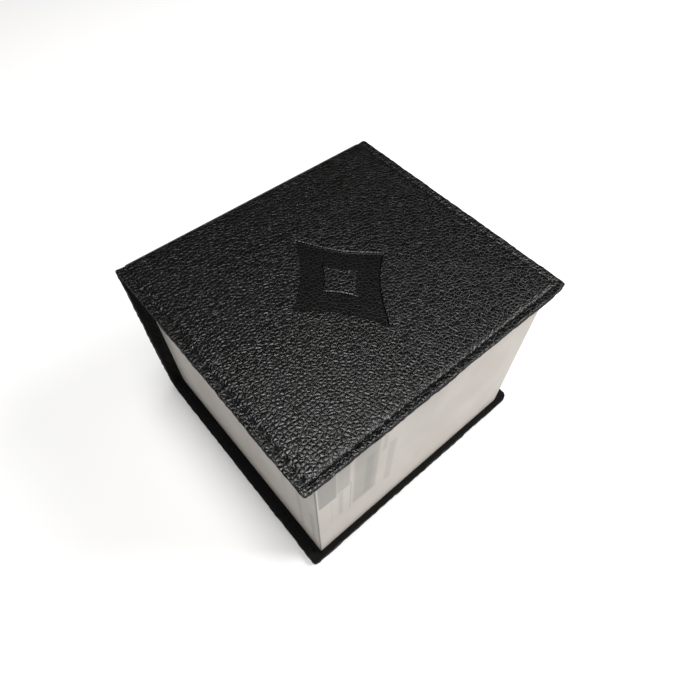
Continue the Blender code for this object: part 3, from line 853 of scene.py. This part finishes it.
bpy.ops.object.mode_set(mode="EDIT")
select_where(tray_paper, "faces", lambda f: f.normal.z > 0.99)
bpy.ops.mesh.inset(thickness=rim_width)
bpy.ops.mesh.extrude_region_move(TRANSFORM_OT_translate={"value": (0, 0, -TURN_IN)})
bpy.ops.mesh.delete(type="FACE")
select_where(tray_paper, "faces", lambda f: f.normal.z < -0.99)
bpy.ops.mesh.inset(thickness=TURN_UNDER)
bpy.ops.mesh.delete(type="FACE")
select_where(tray_paper, "edges", lambda e: all(on_hull(v) == 3 for v in e.verts))
bpy.ops.mesh.bevel(offset=WRAP_CORNER, segments=4, affect="EDGES")
select_where(
    tray_paper, "edges",
    lambda e: all(v.co.z > wrap_high.z - TOUCHING
                  and abs(v.co.x - wrap_low.x) > rim_width - TOUCHING
                  and abs(v.co.x - wrap_high.x) > rim_width - TOUCHING
                  and v.co.y - wrap_low.y > rim_width - TOUCHING
                  and wrap_high.y - v.co.y > rim_width - TOUCHING for v in e.verts),
)
bpy.ops.mesh.bevel(offset=WRAP_CORNER, segments=3, affect="EDGES")
bpy.ops.object.mode_set(mode="OBJECT")
apply_modifier(tray_paper, "SOLIDIFY", thickness=WRAP_PAPER, offset=-1.0, use_even_offset=True)

# Paper: a faint felt of fibres, with a few darker specks, and a slow unevenness
paper_fibre, given, result = new_group(
    "paper_fibre", [("Fineness", "NodeSocketFloat")],
    [("Height", "NodeSocketFloat"), ("Tone", "NodeSocketFloat"), ("Specks", "NodeSocketFloat")],
)
place = add_node(paper_fibre, "ShaderNodeTexCoord").outputs["Object"]
felt = add_node(
    paper_fibre, "ShaderNodeTexNoise",
    {"Vector": place, "Scale": given["Fineness"], "Detail": 6.0, "Roughness": 0.65},
).outputs["Fac"]
slow = add_node(
    paper_fibre, "ShaderNodeTexNoise", {"Vector": place, "Scale": 45.0, "Detail": 3.0}
).outputs["Fac"]
speck = add_node(
    paper_fibre, "ShaderNodeTexVoronoi", {"Vector": place, "Scale": given["Fineness"]}, feature="F1"
).outputs["Distance"]
paper_fibre.links.new(felt, result["Height"])
paper_fibre.links.new(fit_range(paper_fibre, slow, 0.3, 0.7), result["Tone"])
paper_fibre.links.new(fit_range(paper_fibre, speck, 0.10, 0.04), result["Specks"])

# One printed bar: 1 inside an upright strip with a slanted foot and head, 0 outside it
printed_bar, given, result = new_group(
    "printed_bar",
    [("Along", "NodeSocketFloat"), ("Up", "NodeSocketFloat"), ("From", "NodeSocketFloat"),
     ("To", "NodeSocketFloat"), ("Foot", "NodeSocketFloat"), ("Head", "NodeSocketFloat"),
     ("Slant", "NodeSocketFloat"), ("Softness", "NodeSocketFloat")],
    [("Mask", "NodeSocketFloat")],
)
level = math_node(printed_bar, "MULTIPLY", given["Along"], given["Slant"])
level = math_node(printed_bar, "ADD", given["Up"], level)


def soft_step(tree, value, edge, softness, rising):
    """0 to 1 across an edge, one way or the other."""
    gap = math_node(tree, "SUBTRACT", value, edge) if rising else math_node(tree, "SUBTRACT", edge, value)
    return math_node(tree, "DIVIDE", gap, softness, clamp=True)


mask = soft_step(printed_bar, given["Along"], given["From"], given["Softness"], True)
for value, edge, rising in (
    (given["Along"], given["To"], False),
    (level, given["Foot"], True),
    (level, given["Head"], False),
):
    step = soft_step(printed_bar, value, edge, given["Softness"], rising)
    mask = math_node(printed_bar, "MULTIPLY", mask, step)
printed_bar.links.new(mask, result["Mask"])

satin_paper, tree, shader = new_material("satin_paper", Specular_IOR_Level=0.35)
place = add_node(tree, "ShaderNodeTexCoord").outputs["Object"]
split = add_node(tree, "ShaderNodeSeparateXYZ", {"Vector": place})
fibre = use_group(tree, paper_fibre, {"Fineness": 2600.0})
colour = mix_colour(tree, fibre.outputs["Tone"], (0.530, 0.493, 0.454, 1), (0.500, 0.462, 0.422, 1))
from_corner = math_node(tree, "SUBTRACT", split.outputs[0], wrap_low.x)
on_fore_edge = math_node(tree, "LESS_THAN", split.outputs[1], wrap_low.y + WRAP_CORNER)
into_side = math_node(tree, "SUBTRACT", split.outputs[1], wrap_low.y)
on_side = math_node(tree, "LESS_THAN", split.outputs[0], wrap_low.x + WRAP_CORNER)
PALE = 0.24
MIDDLE = 0.40
DARK = 0.62
PRINT_INK = (0.150, 0.148, 0.142, 1)
fore_edge_bars = [
    # from, to, foot, head, slant, softness, ink
    (0.0006, 0.0082, 0.0500, 0.0900, 0.10, 0.0006, DARK),
    (0.0077, 0.0137, 0.0520, 0.0900, 0.10, 0.0008, MIDDLE),
    (0.0055, 0.0061, 0.0250, 0.0480, 0.00, 0.0004, PALE),
    (0.0084, 0.0110, 0.0280, 0.0515, 0.00, 0.0008, PALE),
    (0.0135, 0.0143, 0.0265, 0.0530, 0.00, 0.0005, DARK),
    (0.0143, 0.0262, 0.0300, 0.0900, 0.12, 0.0015, MIDDLE),
    (0.0195, 0.0240, 0.0300, 0.0620, 0.00, 0.0012, PALE),
    (0.0292, 0.0338, 0.0290, 0.0640, 0.16, 0.0012, PALE),
    (0.0262, 0.0292, 0.0560, 0.0900, 0.00, 0.0012, PALE),
    (0.0338, 0.0560, 0.0500, 0.0900, 0.25, 0.0060, PALE / 2),
]
side_bars = [
    # The first side bar is a thin dark strip painted down the tray's vertical corner, over its rounded
    # bevel
    (-0.001, 0.0006, 0.0000, 0.0900, 0.00, 0.0003, 0.75),
    (0.0020, 0.0052, 0.0060, 0.0420, 0.30, 0.0012, PALE),
    (0.0085, 0.0120, 0.0160, 0.0520, 0.45, 0.0016, PALE),
    (0.0165, 0.0205, 0.0300, 0.0640, 0.45, 0.0020, PALE / 2),
]


def print_bars(tree, paper, bars, along, up, on_face):
    """The paper's colour with one face's bars printed over it."""
    for start, end, foot, head, slant, soft, ink in bars:
        bar = use_group(tree, printed_bar, {
            "Along": along, "Up": up, "From": start, "To": end,
            "Foot": foot, "Head": head, "Slant": slant, "Softness": soft,
        })
        amount = math_node(tree, "MULTIPLY", bar.outputs["Mask"], on_face)
        amount = math_node(tree, "MULTIPLY", amount, ink)
        paper = mix_colour(tree, amount, paper, PRINT_INK)
    return paper


colour = print_bars(tree, colour, fore_edge_bars, from_corner, split.outputs[2], on_fore_edge)
colour = print_bars(tree, colour, side_bars, into_side, split.outputs[2], on_side)
tree.links.new(colour, shader.inputs["Base Color"])
tree.links.new(fit_range(tree, fibre.outputs["Tone"], 0, 1, 0.48, 0.58), shader.inputs["Roughness"])
bump = add_node(
    tree, "ShaderNodeBump", {"Height": fibre.outputs["Height"], "Distance": 0.00002, "Strength": 0.6}
)
tree.links.new(bump.outputs["Normal"], shader.inputs["Normal"])

tray_paper.data.materials.append(satin_paper)
smooth_piece(tray_paper, 35)
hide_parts("tray_wrap")
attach(tray_paper, "case")

# ---- Boards, stays, liners and magnets ----------------------------------------------------------
# The plain pieces inside: grey pulp board in the lid, spine, base and tray walls, brown paper
# angles over the wall joints, black card lining the tray, and nickel-plated bars and plates.
greyboard, tree, shader = new_material("grey_pulp_board")
fibre = use_group(tree, paper_fibre, {"Fineness": 1500.0})
colour = mix_colour(tree, fibre.outputs["Height"], (0.20, 0.185, 0.165, 1), (0.36, 0.34, 0.31, 1))
colour = mix_colour(tree, fibre.outputs["Specks"], colour, (0.12, 0.10, 0.085, 1))
tree.links.new(colour, shader.inputs["Base Color"])
tree.links.new(fit_range(tree, fibre.outputs["Tone"], 0, 1, 0.85, 0.95), shader.inputs["Roughness"])
bump = add_node(
    tree, "ShaderNodeBump", {"Height": fibre.outputs["Height"], "Distance": 0.00006, "Strength": 0.8}
)
tree.links.new(bump.outputs["Normal"], shader.inputs["Normal"])

kraft_paper, tree, shader = new_material("kraft_stay_paper")
fibre = use_group(tree, paper_fibre, {"Fineness": 2200.0})
colour = mix_colour(tree, fibre.outputs["Height"], (0.36, 0.25, 0.14, 1), (0.52, 0.38, 0.23, 1))
tree.links.new(colour, shader.inputs["Base Color"])
tree.links.new(fit_range(tree, fibre.outputs["Tone"], 0, 1, 0.75, 0.88), shader.inputs["Roughness"])
bump = add_node(
    tree, "ShaderNodeBump", {"Height": fibre.outputs["Height"], "Distance": 0.00003, "Strength": 0.7}
)
tree.links.new(bump.outputs["Normal"], shader.inputs["Normal"])

liner_card, tree, shader = new_material("black_liner_card", Specular_IOR_Level=0.3)
fibre = use_group(tree, paper_fibre, {"Fineness": 3000.0})
colour = mix_colour(tree, fibre.outputs["Height"], (0.012, 0.012, 0.013, 1), (0.030, 0.030, 0.031, 1))
tree.links.new(colour, shader.inputs["Base Color"])
tree.links.new(fit_range(tree, fibre.outputs["Tone"], 0, 1, 0.62, 0.78), shader.inputs["Roughness"])
bump = add_node(
    tree, "ShaderNodeBump", {"Height": fibre.outputs["Height"], "Distance": 0.00003, "Strength": 0.7}
)
tree.links.new(bump.outputs["Normal"], shader.inputs["Normal"])

nickel, tree, shader = new_material("nickel_plate", Metallic=1.0)
place = add_node(tree, "ShaderNodeTexCoord").outputs["Object"]
haze = add_node(tree, "ShaderNodeTexNoise", {"Vector": place, "Scale": 700.0, "Detail": 4.0}).outputs["Fac"]
colour = mix_colour(tree, haze, (0.58, 0.56, 0.52, 1), (0.68, 0.66, 0.63, 1))
tree.links.new(colour, shader.inputs["Base Color"])
tree.links.new(fit_range(tree, haze, 0.3, 0.7, 0.18, 0.36), shader.inputs["Roughness"])
bump = add_node(tree, "ShaderNodeBump", {"Height": haze, "Distance": 0.00001, "Strength": 0.5})
tree.links.new(bump.outputs["Normal"], shader.inputs["Normal"])

finishes = {
    "greyboard": greyboard,
    "stay_paper": kraft_paper,
    "liner_card": liner_card,
    "magnet": nickel,
}
for entry in frame["record"]["subparts"]:
    finish = finishes.get(entry["material_slot"])
    if finish is not None:
        frame["nodes"][entry["node"]].material_slots[0].material = finish
